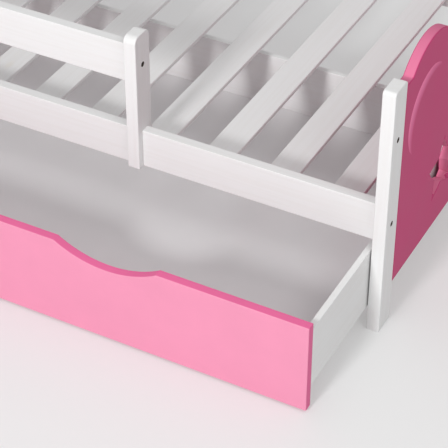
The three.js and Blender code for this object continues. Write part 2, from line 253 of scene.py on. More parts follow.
@dataclass(frozen=True)
class PaintedPine(Finish):
    """Planed pine under two coats of satin acrylic: the year rings telegraph through and knots ghost warm."""

    name: str = "satin_acrylic_on_planed_pine"
    paint: str = "e8e8e8"
    ring_shade: str = "e5e4e3"
    knot_ghost: str = "e4dfd4"
    drilled: str = "57493f"  # bolt-hole walls: raw wood, darkened further as painted shade for the shade deep in the holes
    ring_spacing: float = 7 * MM  # real rings are 2 to 4 mm apart; drawn coarser so that they show
    ring_run: float = 0.035  # how much shorter the pattern is across the grain than along it
    ring_show: float = 0.55
    wander: float = 60 * MM  # how far apart the bends in the rings are
    wander_reach: float = 12 * MM
    knot_spacing: float = 230 * MM
    knot_radius: float = 0.055  # share of the knot spacing
    knot_run: float = 0.55
    knot_show: float = 0.6
    knot_lift: float = 1.5
    patch: float = 45 * MM
    stipple: float = 1.6 * MM  # the mark that a foam roller leaves
    relief: float = 0.035 * MM
    roughness: tuple[float, float] = (0.40, 0.52)

    def wire(self, tree: bpy.types.NodeTree) -> Settings:
        """Rings, knots and roller stipple in the board's own grain coordinates."""
        grain = board_grain(tree)
        along = shortened(tree, grain, self.ring_run)
        bent = add_node(
            tree, "ShaderNodeVectorMath",
            {
                0: noise(tree, along, self.wander).outputs["Color"],
                1: (self.wander_reach, self.wander_reach, 0.0),
                2: along,
            },
            operation="MULTIPLY_ADD",
        )
        rings = noise(tree, bent.outputs[0], self.ring_spacing, 3.0, 0.45)
        late = spread(tree, rings.outputs[0], (0.42, 0.62), eased=True)
        knots = add_node(
            tree, "ShaderNodeTexVoronoi",
            {"Vector": shortened(tree, grain, self.knot_run), "Scale": 1 / self.knot_spacing},
        )
        knot = spread(tree, knots.outputs["Distance"], (self.knot_radius, 0.0), eased=True)
        ringed = blend(tree, math_of(tree, "MULTIPLY", late, self.ring_show), self.paint, self.ring_shade)
        ghosted = blend(tree, math_of(tree, "MULTIPLY", knot, self.knot_show), ringed, self.knot_ghost)
        roller = noise(tree, grain, self.stipple).outputs[0]
        height = math_of(tree, "MULTIPLY_ADD", knot, self.knot_lift, math_of(tree, "ADD", late, roller))
        patches = noise(tree, grain, self.patch, 3.0).outputs[0]
        return {
            # painted shade: the bolt-hole walls take a dark brown over raw wood, standing for the shade
            # inside the holes
            "Base Color": blend(tree, face_mark(tree, "drilled"), ghosted, self.drilled),
            "Roughness": spread(tree, patches, (0.3, 0.7), self.roughness),
            "Normal": relief_of(tree, height, self.relief, 0.8),
            "IOR": 1.48,
        }


@dataclass(frozen=True)
class PaintedFibreboard(Finish):
    """Fibreboard sprayed with satin lacquer: a fine orange peel, and a drier look on machined edges."""

    name: str = "sprayed_satin_lacquer_on_fibreboard"
    lacquer: str = "e68fae"
    # the machined edges' pink: partly their own tone, partly painted shade, deeper than the faces as the
    # drawer front's less lit top edge looks
    edge: str = "e6679a"
    carving: str = "ff94c0"  # painted highlight: a paler pink on the moon's slope, standing in for the light that catches it
    orange_peel: float = 2.6 * MM  # real peel is about 1 mm; drawn coarser so that it shows
    fibre: float = 0.9 * MM
    cloud: float = 90 * MM
    cloud_depth: Point2 = (0.97, 1.02)
    edge_dryness: float = 0.12
    relief: float = 0.07 * MM
    roughness: tuple[float, float] = (0.52, 0.62)

    def wire(self, tree: bpy.types.NodeTree) -> Settings:
        """Orange peel over the faces and raised fibres on the machined edges."""
        grain = board_grain(tree)
        machined = face_mark(tree, "machined")
        peel = noise(tree, grain, self.orange_peel, 1.5, 0.4).outputs[0]
        fibres = noise(tree, grain, self.fibre, 4.0, 0.7).outputs[0]
        cloud = noise(tree, grain, self.cloud, 3.0).outputs[0]
        edged = blend(tree, machined, self.lacquer, self.edge)
        # painted highlight: the moon's slope takes the paler pink, more where it is steeper
        colour = blend(tree, face_mark(tree, "carved"), edged, self.carving)
        depth = spread(tree, cloud, (0.3, 0.7), self.cloud_depth)
        toned = add_node(tree, "ShaderNodeVectorMath", {0: colour, "Scale": depth}, operation="SCALE")
        low, high = self.roughness
        drier = math_of(tree, "MULTIPLY_ADD", machined, self.edge_dryness, low)
        height = add_node(tree, "ShaderNodeMix", {0: machined, 2: peel, 3: fibres}, data_type="FLOAT")
        return {
            "Base Color": toned.outputs[0],
            "Roughness": math_of(tree, "MULTIPLY_ADD", cloud, high - low, drier),
            "Normal": relief_of(tree, height.outputs[0], self.relief, 0.7),
            "IOR": 1.5,
        }


@dataclass(frozen=True)
class FoiledHardboard(Finish):
    """Hardboard with a printed white foil: smooth with a faint pressed texture, the drawer's floor."""

    name: str = "white_foil_on_pressed_hardboard"
    foil: str = "e0dedf"
    print_shade: str = "dbd9da"
    cloud: float = 120 * MM
    emboss: float = 3.0 * MM
    emboss_run: float = 0.25
    relief: float = 0.05 * MM
    roughness: tuple[float, float] = (0.42, 0.58)

    def wire(self, tree: bpy.types.NodeTree) -> Settings:
        """A fine pressed texture and a soft change of tone."""
        grain = board_grain(tree)
        press = noise(tree, shortened(tree, grain, self.emboss_run), self.emboss, 3.0).outputs[0]
        cloud = noise(tree, grain, self.cloud).outputs[0]
        return {
            "Base Color": blend(tree, cloud, self.foil, self.print_shade),
            "Roughness": spread(tree, press, (0.0, 1.0), self.roughness),
            "Normal": relief_of(tree, press, self.relief, 0.6),
            "IOR": 1.5,
        }


@dataclass(frozen=True)
class BarePine(Finish):
    """Planed pine with no paint: pale early wood between darker late-wood lines."""

    name: str = "planed_bare_pine"
    early: str = "e3c695"
    late: str = "b98a52"
    ring_spacing: float = 5 * MM
    ring_run: float = 0.03
    relief: float = 0.1 * MM
    roughness: tuple[float, float] = (0.55, 0.75)

    def wire(self, tree: bpy.types.NodeTree) -> Settings:
        """Year rings as long lines down the board."""
        along = shortened(tree, board_grain(tree), self.ring_run)
        rings = noise(tree, along, self.ring_spacing, 5.0, 0.6).outputs[0]
        line = spread(tree, rings, (0.4, 0.65))
        return {
            "Base Color": blend(tree, line, self.early, self.late),
            "Roughness": spread(tree, rings, (0.0, 1.0), self.roughness),
            "Normal": relief_of(tree, line, self.relief, 0.7),
        }


@dataclass(frozen=True)
class ZincPlatedSteel(Finish):
    """Turned steel with zinc plating: fine tool marks and a slightly cloudy sheen."""

    name: str = "zinc_plated_turned_steel"
    zinc: str = "c3c6cb"
    dull: str = "a9adb3"
    tool_mark: float = 0.6 * MM
    cloud: float = 6 * MM
    relief: float = 0.02 * MM
    roughness: tuple[float, float] = (0.24, 0.42)

    def wire(self, tree: bpy.types.NodeTree) -> Settings:
        """Cloudy plating with fine turning marks."""
        grain = board_grain(tree)
        marks = noise(tree, grain, self.tool_mark, 3.0).outputs[0]
        cloud = noise(tree, grain, self.cloud).outputs[0]
        return {
            "Base Color": blend(tree, cloud, self.zinc, self.dull),
            "Metallic": 1.0,
            "Roughness": spread(tree, cloud, (0.0, 1.0), self.roughness),
            "Normal": relief_of(tree, marks, self.relief, 0.5),
        }


@dataclass(frozen=True)
class MouldedPolypropylene(Finish):
    """Polypropylene moulded in a spark-eroded tool: a fine matt pebble, the castors."""

    name: str = "moulded_polypropylene"
    plastic: str = "2c2d30"
    scuff: str = "3a3b3f"
    scuff_size: float = 9 * MM
    pebble: float = 0.8 * MM
    relief: float = 0.05 * MM
    roughness: tuple[float, float] = (0.45, 0.65)

    def wire(self, tree: bpy.types.NodeTree) -> Settings:
        """A fine pebble and a few paler scuffs."""
        grain = board_grain(tree)
        pebble = noise(tree, grain, self.pebble).outputs[0]
        scuffs = noise(tree, grain, self.scuff_size, 4.0).outputs[0]
        return {
            "Base Color": blend(tree, scuffs, self.plastic, self.scuff),
            "Roughness": spread(tree, scuffs, (0.0, 1.0), self.roughness),
            "Normal": relief_of(tree, pebble, self.relief, 0.6),
            "IOR": 1.49,
        }


# ---------------------------------------------------------------- mesh work


def box_of(node: str) -> tuple[Vector, Vector]:
    """The lowest and highest corner of a CAD node."""
    low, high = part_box(node)
    return Vector(low), Vector(high)


def middle_of(node: str) -> Vector:
    """The middle of a CAD node's box."""
    low, high = box_of(node)
    return (low + high) / 2


def bolt_for(nut: str) -> str:
    """The bolt that screws into a barrel nut."""
    return nut.replace("_nut_", "_bolt_")


def inward_side(node: str) -> int:
    """1 where the bed's inside lies towards +Y of a node, or -1."""
    return 1 if middle_of(node).y < middle_of("slat_01").y else -1


def to_mesh(made: bmesh.types.BMesh, name: str) -> bpy.types.Mesh:
    """Closes a bmesh into a mesh with its faces turned outwards."""
    bmesh.ops.recalc_face_normals(made, faces=made.faces)
    mesh = bpy.data.meshes.new(name)
    made.to_mesh(mesh)
    made.free()
    return mesh


def ease_edges(
    made: bmesh.types.BMesh, arris: float, sharper_than: float = 40.0, segments: int = 3
) -> None:
    """Rounds every edge that turns by more than an angle, as sandpaper does.

    Args:
        made: the solid to ease, changed in place.
        arris: the radius of the eased edge, in metres.
        sharper_than: edges that turn by less than this many degrees stay.
        segments: how many strips make up the round.
    """
    made.normal_update()
    least = math.radians(sharper_than)
    edges = [e for e in made.edges if len(e.link_faces) == 2 and e.calc_face_angle(0.0) > least]
    bmesh.ops.bevel(
        made, geom=edges, offset=arris, segments=segments, profile=0.5, affect="EDGES", clamp_overlap=True
    )


def board(name: str, low: Vector, high: Vector, arris: float) -> bpy.types.Mesh:
    """A planed board between two corners, with its edges eased.

    Args:
        name: the mesh's name.
        low: the lowest corner.
        high: the highest corner.
        arris: the radius of its edges, in metres.

    Returns:
        The board's mesh.
    """
    made = bmesh.new()
    bmesh.ops.create_cube(made, size=1.0)
    size, middle = high - low, (high + low) / 2
    placed = Matrix.Translation(middle) @ Matrix.Diagonal((*size, 1.0))
    bmesh.ops.transform(made, matrix=placed, verts=made.verts)
    if arris > 0:
        ease_edges(made, arris)
    return to_mesh(made, name)


def prism(name: str, outline: Sequence[Point2], axis: Axis, ends: Point2, arris: float) -> bpy.types.Mesh:
    """A board cut to an outline, with its edges eased.

    Args:
        name: the mesh's name.
        outline: the closed outline, as (Y, Z) for a prism along X or (X, Z) for one along Y.
        axis: the direction of its thickness.
        ends: where it starts and ends along that direction.
        arris: the radius of its edges, in metres.

    Returns:
        The board's mesh.
    """
    def place(u: float, v: float, depth: float) -> Vector:
        """A point of the outline at a depth along the axis."""
        return Vector((depth, u, v)) if axis is Axis.X else Vector((u, depth, v))

    made = bmesh.new()
    near = [made.verts.new(place(u, v, ends[0])) for u, v in outline]
    far = [made.verts.new(place(u, v, ends[1])) for u, v in outline]
    made.faces.new(near)
    made.faces.new(far)
    count = len(outline)
    for i in range(count):
        j = (i + 1) % count
        made.faces.new((near[i], near[j], far[j], far[i]))
    bmesh.ops.recalc_face_normals(made, faces=made.faces)
    if arris > 0:
        ease_edges(made, arris)
    return to_mesh(made, name)


def turned(
    name: str, profile: Sequence[Point2], start: Vector, axis: Vector, segments: int = 48
) -> bpy.types.Mesh:
    """A turned solid.

    Args:
        name: the mesh's name.
        profile: (distance along the axis, radius) from one end to the other; a radius of 0 closes an end.
        start: the point that distances are counted from.
        axis: the direction of the axis.
        segments: how many flats make the round.

    Returns:
        The turned mesh.
    """
    made = bmesh.new()
    turn = Vector((0, 0, 1)).rotation_difference(axis.normalized()).to_matrix()
    rings: list[list[bmesh.types.BMVert]] = []
    for along, radius in profile:
        if radius <= 0:
            rings.append([made.verts.new(start + turn @ Vector((0, 0, along)))])
            continue
        angles = [2 * math.pi * i / segments for i in range(segments)]
        places = [Vector((radius * math.cos(a), radius * math.sin(a), along)) for a in angles]
        rings.append([made.verts.new(start + turn @ place) for place in places])
    closed = len(rings[0]) > 1 and len(rings[-1]) > 1
    pairs = list(zip(rings, rings[1:])) + ([(rings[-1], rings[0])] if closed else [])
    for a, b in pairs:
        for i in range(segments):
            j = (i + 1) % segments
            near = (a[i], a[j]) if len(a) > 1 else (a[0],)
            far = (b[j], b[i]) if len(b) > 1 else (b[0],)
            made.faces.new((*near, *far))
    return to_mesh(made, name)


def carved(body: bpy.types.Mesh, cutters: Iterable[bpy.types.Mesh]) -> bpy.types.Mesh:
    """Cuts shapes out of a mesh.

    Args:
        body: the mesh to cut.
        cutters: closed meshes that are taken away from it.

    Returns:
        The cut mesh; the meshes given are removed.
    """
    tools = [bpy.data.objects.new("cutter", mesh) for mesh in cutters]
    target = bpy.data.objects.new("carving", body)
    for item in (target, *tools):
        bpy.context.scene.collection.objects.link(item)
    for tool in tools:
        cut = target.modifiers.new("cut", "BOOLEAN")
        cut.operation, cut.solver, cut.object = "DIFFERENCE", "EXACT", tool
    graph = bpy.context.evaluated_depsgraph_get()
    result = bpy.data.meshes.new_from_object(target.evaluated_get(graph))
    result.name = body.name + "_cut"
    for item in (target, *tools):
        mesh = item.data
        bpy.data.objects.remove(item)
        bpy.data.meshes.remove(mesh)
    return result


def arc(centre: Point2, radius: float, start: float, end: float, steps: int) -> list[Point2]:
    """Points along an arc.

    Args:
        centre: the arc's centre.
        radius: its radius.
        start: the first angle, in degrees.
        end: the last angle, in degrees.
        steps: how many straight pieces it is drawn with.

    Returns:
        The points, both ends included.
    """
    angles = [math.radians(start + (end - start) * i / steps) for i in range(steps + 1)]
    return [(centre[0] + radius * math.cos(a), centre[1] + radius * math.sin(a)) for a in angles]


class Workbench:
    """Turns meshes into finished pieces that ride on the frame."""

    cut_lean = 0.5  # a face that leans further than this towards the board's face takes the face's colour

    def __init__(self) -> None:
        """Starts with no pieces made."""
        self.made = 0

    def lay_grain(self, mesh: bpy.types.Mesh, along: Axis) -> None:
        """Writes each point's place in the board, in metres, with the grain along the third value.

        Args:
            mesh: the mesh to write on.
            along: the direction of the board's length.
        """
        order = {Axis.X: (1, 2, 0), Axis.Y: (2, 0, 1), Axis.Z: (0, 1, 2)}[along]
        shift = Vector((0.37 * self.made, 0.23 * self.made, 1.7 * self.made))
        grain = mesh.attributes.new("grain", "FLOAT_VECTOR", "POINT")
        values: list[float] = []
        for vertex in mesh.vertices:
            values.extend(vertex.co[order[i]] + shift[i] for i in range(3))
        grain.data.foreach_set("vector", values)

    def mark_machined(self, mesh: bpy.types.Mesh, thickness: Axis) -> None:
        """Marks the faces that a saw or router made, which don't face along the board's thickness.

        Args:
            mesh: the mesh to write on.
            thickness: the direction of the board's thickness.
        """
        machined = mesh.attributes.new("machined", "FLOAT", "FACE")
        machined.data.foreach_set(
            "value", [max(0.0, 1.0 - (p.normal[thickness.value] / self.cut_lean) ** 2) for p in mesh.polygons]
        )

    def finish(
        self,
        mesh: bpy.types.Mesh,
        name: str,
        finish: Finish,
        slot: Slot,
        body: str,
        nodes: Sequence[str],
        along: Axis,
        thickness: Axis | None = None,
    ) -> bpy.types.Object:
        """Makes a mesh into a finished piece.

        Args:
            mesh: the piece's mesh.
            name: the piece's name.
            finish: its material.
            slot: the record's slot that it stands for; not used.
            body: the CAD body that it rides on.
            nodes: the CAD nodes that it replaces.
            along: the direction of its grain.
            thickness: the direction of a sheet's thickness, where its edges look different.

        Returns:
            The piece.
        """
        self.made += 1
        mesh.name = name
        self.lay_grain(mesh, along)
        if thickness is not None:
            self.mark_machined(mesh, thickness)
        mesh.polygons.foreach_set("use_smooth", [True] * len(mesh.polygons))
        mesh.set_sharp_from_angle(angle=math.radians(38))
        mesh.materials.clear()
        mesh.materials.append(finish.material())
        piece = bpy.data.objects.new(name, mesh)
        bpy.context.scene.collection.objects.link(piece)
        weighted = piece.modifiers.new("even_shading", "WEIGHTED_NORMAL")
        weighted.keep_sharp = True
        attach(piece, body)
        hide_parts(*nodes)
        log.info("made %s", name)
        return piece


# ---------------------------------------------------------------- the frame


@dataclass
class BoltHole:
    """A stepped hole for a bolt, with the head sunk below the face."""

    shank: float = 3.3 * MM
    head: float = 5.3 * MM
    sink: float = 8 * MM
    mouth: float = 0.5 * MM
    over: float = 2 * MM

    def cutter(self, face: Vector, inward: Vector, through: float) -> bpy.types.Mesh:
        """The shape that the drill takes away.

        Args:
            face: where the hole meets the outer face.
            inward: the direction into the wood.
            through: how far the narrow hole goes.

        Returns:
            The drill's mesh.
        """
        profile = [
            (-self.over, 0.0),
            (-self.over, self.head + self.mouth + self.over),
            (self.mouth, self.head),
            (self.sink, self.head),
            (self.sink, self.shank),
            (through + self.over, self.shank),
            (through + self.over, 0.0),
        ]
        return turned("drill", profile, face, inward, 40)

    def mark(self, mesh: bpy.types.Mesh, centres: Iterable[Vector]) -> None:
        """Marks the walls of the holes, which take a dark brown: raw wood, darkened further as painted shade
        for the shade inside the holes; the faces with every corner inside a hole.

        Args:
            mesh: the drilled upright.
            centres: points on the bolts' axes.
        """
        reach = self.head + 0.5 * self.mouth
        inside = [
            {v.index for v in mesh.vertices if math.hypot(v.co.y - c.y, v.co.z - c.z) < reach}
            for c in centres
        ]
        values = [float(any(hole.issuperset(face.vertices) for hole in inside)) for face in mesh.polygons]
        mesh.attributes.new("drilled", "FLOAT", "FACE").data.foreach_set("value", values)


@dataclass
class Upright:
    """The legs and the barrier post: square timber with a rounded top."""

    bench: Workbench
    finish: Finish
    arris: float = 2.0 * MM
    leg_top_radius: float = 7 * MM
    post_top_radius: float = 14 * MM
    slot_play: float = 0.4 * MM
    tongue: float = 40 * MM
    past: float = 10 * MM  # how far a cutter runs on beyond the wood
    hole: BoltHole = field(default_factory=BoltHole)

    def rounded_top(self, low: Vector, high: Vector, radius: float) -> list[Point2]:
        """The side outline of an upright with two round top corners."""
        outline = [(low.y, low.z), (high.y, low.z)]
        outline += arc((high.y - radius, high.z - radius), radius, 0, 90, 10)
        outline += arc((low.y + radius, high.z - radius), radius, 90, 180, 10)
        return outline

    def drills(self, low: Vector, high: Vector, side: int, centres: Iterable[Vector]) -> list[bpy.types.Mesh]:
        """Bolt holes from the upright's outer face.

        Args:
            low: the upright's lowest corner.
            high: its highest corner.
            side: 1 where the outer face looks along +X, or -1.
            centres: points on the bolts' axes.

        Returns:
            One cutter for each hole.
        """
        face = high.x if side > 0 else low.x
        inward, through = Vector((-side, 0, 0)), high.x - low.x
        return [self.hole.cutter(Vector((face, c.y, c.z)), inward, through) for c in centres]

    def leg(self, end: str, row: str) -> None:
        """Makes one leg with its rail bolt hole and its barrier bolt hole."""
        node = f"leg_{end}_{row}"
        low, high = box_of(node)
        outline = self.rounded_top(low, high, self.leg_top_radius)
        mesh = prism(node, outline, Axis.X, (low.x, high.x), self.arris)
        rail = middle_of(f"rail_bolt_{end}_{row}")
        spare = Vector((rail.x, rail.y, middle_of("barrier_bolt_head").z))
        side = 1 if end == "foot" else -1
        mesh = carved(mesh, self.drills(low, high, side, (rail, spare)))
        self.hole.mark(mesh, (rail, spare))
        self.bench.finish(mesh, node + "_painted", self.finish, Slot.WHITE, Body.BED.value, [node], Axis.Z)

    def post(self) -> None:
        """Makes the barrier post: forked over the rail, with a short tongue behind it."""
        low, high = box_of("barrier_post")
        rail_low, rail_high = box_of("side_rail_front")
        clear, below = self.slot_play, low.z - self.past
        outline = self.rounded_top(low, high, self.post_top_radius)
        mesh = prism("post", outline, Axis.X, (low.x, high.x), self.arris)
        wide = Vector((self.hole.over, 0, 0))
        slot_low = Vector((low.x, rail_low.y - clear, below)) - wide
        slot_high = Vector((high.x, rail_high.y + clear, rail_high.z)) + wide
        back_low = Vector((low.x, rail_high.y - clear, below)) - wide
        back_high = Vector((high.x, high.y + self.past, rail_high.z - self.tongue)) + wide
        cutters = [board("slot", slot_low, slot_high, 0.0), board("back", back_low, back_high, 0.0)]
        bolt = middle_of("barrier_bolt_post")
        cutters += self.drills(low, high, 1, [bolt])
        mesh = carved(mesh, cutters)
        self.hole.mark(mesh, [bolt])
        self.bench.finish(
            mesh, "barrier_post_painted", self.finish, Slot.WHITE, Body.BED.value, ["barrier_post"], Axis.Z
        )

    def build(self) -> None:
        """Makes the four legs and the post."""
        for end in ("foot", "head"):
            for row in ("front", "back"):
                self.leg(end, row)
        self.post()


@dataclass
class Rails:
    """The side rails, the ledgers under the slats and the barrier board."""

    bench: Workbench
    finish: Finish
    arris: float = 1.6 * MM
    nut_bore: float = 5.3 * MM
    bolt_bore: float = 3.3 * MM
    bolt_depth: float = 48 * MM

    def nut_drill(self, nut: str) -> bpy.types.Mesh:
        """The cross hole that a barrel nut drops into."""
        low, high = box_of(nut)
        centre = (low + high) / 2
        inside = inward_side(nut)
        mouth = Vector((centre.x, centre.y + inside * (high.y - low.y) / 2, centre.z))
        profile = [
            (-2 * MM, 0.0), (-2 * MM, self.nut_bore + 2.4 * MM), (0.7 * MM, self.nut_bore),
            (high.y - low.y + MM, self.nut_bore), (high.y - low.y + MM, 0.0),
        ]
        return turned("drill", profile, mouth, Vector((0, -inside, 0)), 40)

    def end_drill(self, nut: str, end_x: float) -> bpy.types.Mesh:
        """The hole in the end grain for the bolt that meets a barrel nut."""
        centre = middle_of(nut)
        into = -1 if end_x > centre.x else 1
        start = Vector((end_x, middle_of(bolt_for(nut)).y, centre.z))
        bore, depth = self.bolt_bore, self.bolt_depth
        profile = [(-2 * MM, 0.0), (-2 * MM, bore), (depth, bore), (depth, 0.0)]
        return turned("drill", profile, start, Vector((into, 0, 0)), 24)

    def plank(self, node: str, nuts: Sequence[str]) -> None:
        """Makes one board with its bolt and nut holes."""
        low, high = box_of(node)
        mesh = board(node, low, high, self.arris)
        middle = (low.x + high.x) / 2
        cutters = [self.nut_drill(nut) for nut in nuts]
        cutters += [self.end_drill(nut, high.x if middle_of(nut).x > middle else low.x) for nut in nuts]
        if cutters:
            mesh = carved(mesh, cutters)
        self.bench.finish(mesh, node + "_painted", self.finish, Slot.WHITE, Body.BED.value, [node], Axis.X)

    def build(self) -> None:
        """Makes both rails, both ledgers and the barrier board."""
        for row in ("front", "back"):
            self.plank(f"side_rail_{row}", [f"rail_nut_foot_{row}", f"rail_nut_head_{row}"])
            self.plank(f"slat_ledger_{row}", [])
        self.plank("barrier_board", ["barrier_nut_head", "barrier_nut_post"])


@dataclass
class SlatDeck:
    """The slats: thin planed boards that carry the mattress."""

    bench: Workbench
    finish: Finish
    arris: float = 1.8 * MM

    def build(self) -> None:
        """Makes every slat in the frame."""
        for node in sorted(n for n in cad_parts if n.startswith("slat_") and n[5:].isdigit()):
            low, high = box_of(node)
            mesh = board(node, low, high, self.arris)
            self.bench.finish(
                mesh, node + "_painted", self.finish, Slot.WHITE, Body.BED.value, [node], Axis.Y
            )


# ---------------------------------------------------------------- end boards


@dataclass(frozen=True)
class Star:
    """One star: its distance from the front leg and below the legs' tops, and its share of the full size."""

    along: float
    drop: float
    scale: float


@dataclass
class EndBoards:
    """The footboard and headboard: two lobes, a scooped moon and stars cut right through."""

    bench: Workbench
    finish: Finish
    arris: float = 2.4 * MM
    shoulder_drop: float = 11 * MM
    lobe_radius: float = 125 * MM
    lobe_from_leg: float = 113 * MM
    lobe_drop: float = 99.5 * MM
    dip_drop: float = 85 * MM
    moon_radius: float = 86 * MM
    moon_from_leg: float = 109 * MM
    moon_drop: float = 125 * MM
    moon_depth: float = 13.5 * MM
    moon_round: float = 39 * MM
    moon_sweep: float = 60.0
    full_highlight_slope: float = 0.5  # the sine of the lean at which the painted highlight is full
    least_sunk: float = 0.02 * MM
    core_radius: float = 94.5 * MM
    core_offset: Point2 = (27.4 * MM, -25.6 * MM)
    star_tip: float = 71 * MM
    star_waist: float = 36 * MM
    star_reach: float = 56 * MM
    star_carve: float = 7 * MM
    star_flare: float = 1.0 * MM
    star_root: float = 4 * MM  # how far inside its tip's cut an arm's V starts
    star_lift: float = 1 * MM
    stars: tuple[Star, ...] = (
        Star(along=213 * MM, drop=315 * MM, scale=1.0),
        Star(along=412 * MM, drop=190 * MM, scale=0.7),
        Star(along=655 * MM, drop=150 * MM, scale=0.85),
    )

    def outline(self, middle: float, half: float, bottom: float, top: float) -> list[Point2]:
        """The board's outline as (Y, Z).

        Args:
            middle: the Y of the board's middle.
            half: half the distance between the legs.
            bottom: the board's lower edge.
            top: the height of the legs beside it.

        Returns:
            The outline, once round.
        """
        lobe = (half - self.lobe_from_leg, top - self.lobe_drop)
        shoulder, dip = top - self.shoulder_drop, top - self.dip_drop
        rise = dip - lobe[1]
        hollow = (lobe[0] ** 2 + rise**2 - self.lobe_radius**2) / (2 * (self.lobe_radius - rise))
        start = math.degrees(math.asin((shoulder - lobe[1]) / self.lobe_radius))
        meet = math.degrees(math.atan2(dip + hollow - lobe[1], lobe[0]))
        points = [(-half, bottom), (half, bottom), (half, shoulder)]
        points += arc(lobe, self.lobe_radius, start, 180 - meet, 40)
        points += arc((0.0, dip + hollow), hollow, -meet, meet - 180, 44)[1:-1]
        points += arc((-lobe[0], lobe[1]), self.lobe_radius, meet, 180 - start, 40)
        points.append((-half, shoulder))
        return [(middle + y, z) for y, z in points]

    def moon_cutter(self, face: float, end: int, front: float, top: float) -> bpy.types.Mesh:
        """The scoop of the moon: a disc with a domed core, so the floor rises to nothing on one side.

        Args:
            face: the X of the board's outer face.
            end: 1 at the foot, -1 at the head.
            front: the Y of the board's edge at the front leg.
            top: the height of the legs.

        Returns:
            The scoop's mesh.
        """
        centre = Vector((face, front + self.moon_from_leg, top - self.moon_drop))
        inward = Vector((-end, 0, 0))
        lip = 0.8 * MM
        disc = turned(
            "disc",
            [(-2 * MM, 0.0), (-2 * MM, self.moon_radius + 2 * lip + 2 * MM), (lip, self.moon_radius),
             (self.moon_depth, self.moon_radius), (self.moon_depth, 0.0)],
            centre, inward, 180,
        )
        round_over = arc((self.moon_round, self.core_radius), self.moon_round, 180, 180 - self.moon_sweep, 18)
        profile = [(-3 * MM, 0.0), (-3 * MM, self.core_radius), *round_over, (round_over[-1][0], 0.0)]
        offset = Vector((0, *self.core_offset))
        core = turned("core", profile, centre + offset, inward, 220)
        return carved(disc, [core])

    def paint_moon_highlight(self, mesh: bpy.types.Mesh, centre: Vector, end: int) -> None:
        """Marks the moon's slope with a painted highlight, stronger where it is steeper, so that it takes the
        paler lacquer.

        Args:
            mesh: the carved board.
            centre: the middle of the moon's outer circle, on the board's outer face.
            end: 1 at the foot, -1 at the head.
        """
        values = []
        for face in mesh.polygons:
            away = face.center - centre
            sunk = self.least_sunk < -end * away.x < self.moon_depth
            slope = math.hypot(face.normal.y, face.normal.z)
            inside = sunk and math.hypot(away.y, away.z) < self.moon_radius
            values.append(min(1.0, slope / self.full_highlight_slope) if inside else 0.0)
        mesh.attributes.new("carved", "FLOAT", "FACE").data.foreach_set("value", values)

    def star_outline(self, scale: float) -> list[list[Point2]]:
        """Each arm of a star as (waist, near tip, near tip), seen from its centre."""
        arms = []
        for i in range(5):
            tip = math.pi / 2 + i * 2 * math.pi / 5
            left, right, point = (
                (scale * r * math.cos(a), scale * r * math.sin(a))
                for r, a in (
                    (self.star_waist, tip + math.pi / 5),
                    (self.star_waist, tip - math.pi / 5),
                    (self.star_tip, tip),
                )
            )
            rise = self.star_tip - self.star_waist * math.cos(math.pi / 5)
            share = (self.star_tip - self.star_reach) / rise
            near_right = tuple(p + (c - p) * share for p, c in zip(point, right))
            near_left = tuple(p + (c - p) * share for p, c in zip(point, left))
            arms.append([right, near_right, near_left, point])
        return arms

    def star_cutters(
        self, outer: float, inner: float, end: int, centre: Point2, scale: float
    ) -> list[bpy.types.Mesh]:
        """The through cut of a star and the V cut that sharpens each tip.

        Args:
            outer: the X of the board's outer face.
            inner: the X of its inner face.
            end: 1 at the foot, -1 at the head.
            centre: the star's middle, as (Y, Z).
            scale: its size against the largest star.

        Returns:
            The cutters.
        """
        y, z = centre
        arms = self.star_outline(scale)
        loop = [p for arm in arms for p in arm[:3]]
        grow = 1 + (self.star_flare + 2 * MM) / (self.star_waist * scale)
        levels = [
            (outer + end * 2 * MM, grow), (outer - end * self.star_flare, 1.0),
            (inner + end * self.star_flare, 1.0), (inner - end * 2 * MM, grow),
        ]
        made = bmesh.new()
        rings = [[made.verts.new((x, y + u * g, z + v * g)) for u, v in loop] for x, g in levels]
        made.faces.new(rings[0])
        made.faces.new(rings[-1])
        for a, b in zip(rings, rings[1:]):
            for i in range(len(loop)):
                j = (i + 1) % len(loop)
                made.faces.new((a[i], a[j], b[j], b[i]))
        cutters = [to_mesh(made, "star")]
        for i, (_, near_right, near_left, point) in enumerate(arms):
            tip = math.pi / 2 + i * 2 * math.pi / 5
            depth, lift = (self.star_reach - self.star_root) * scale, self.star_lift
            root = (depth * math.cos(tip), depth * math.sin(tip))
            swell = 1 + lift / self.star_carve
            corners = (near_right, near_left, point)
            lips = [tuple(r + (p - r) * swell for p, r in zip(q, root)) for q in corners]
            wedge = bmesh.new()
            mouth = [wedge.verts.new((outer + end * lift, y + u, z + v)) for u, v in lips]
            deep = wedge.verts.new((outer - end * self.star_carve, y + root[0], z + root[1]))
            wedge.faces.new(mouth)
            for a, b in zip(mouth, mouth[1:] + mouth[:1]):
                wedge.faces.new((a, b, deep))
            cutters.append(to_mesh(wedge, "tip"))
        return cutters

    def build(self) -> None:
        """Makes both end boards."""
        for node, end, leg in (("footboard", 1, "leg_foot_front"), ("headboard", -1, "leg_head_front")):
            low, high = box_of(node)
            top = box_of(leg)[1].z
            outer, inner = (high.x, low.x) if end > 0 else (low.x, high.x)
            middle, half = (low.y + high.y) / 2, (high.y - low.y) / 2
            mesh = prism(node, self.outline(middle, half, low.z, top), Axis.X, (low.x, high.x), self.arris)
            cutters = [self.moon_cutter(outer, end, low.y, top)]
            for star in self.stars:
                centre = (low.y + star.along, top - star.drop)
                cutters += self.star_cutters(outer, inner, end, centre, star.scale)
            mesh = carved(mesh, cutters)
            self.paint_moon_highlight(mesh, Vector((outer, low.y + self.moon_from_leg, top - self.moon_drop)), end)
            self.bench.finish(
                mesh, node + "_lacquered", self.finish, Slot.PINK, Body.BED.value, [node], Axis.Y, Axis.X
            )


# ---------------------------------------------------------------- drawer


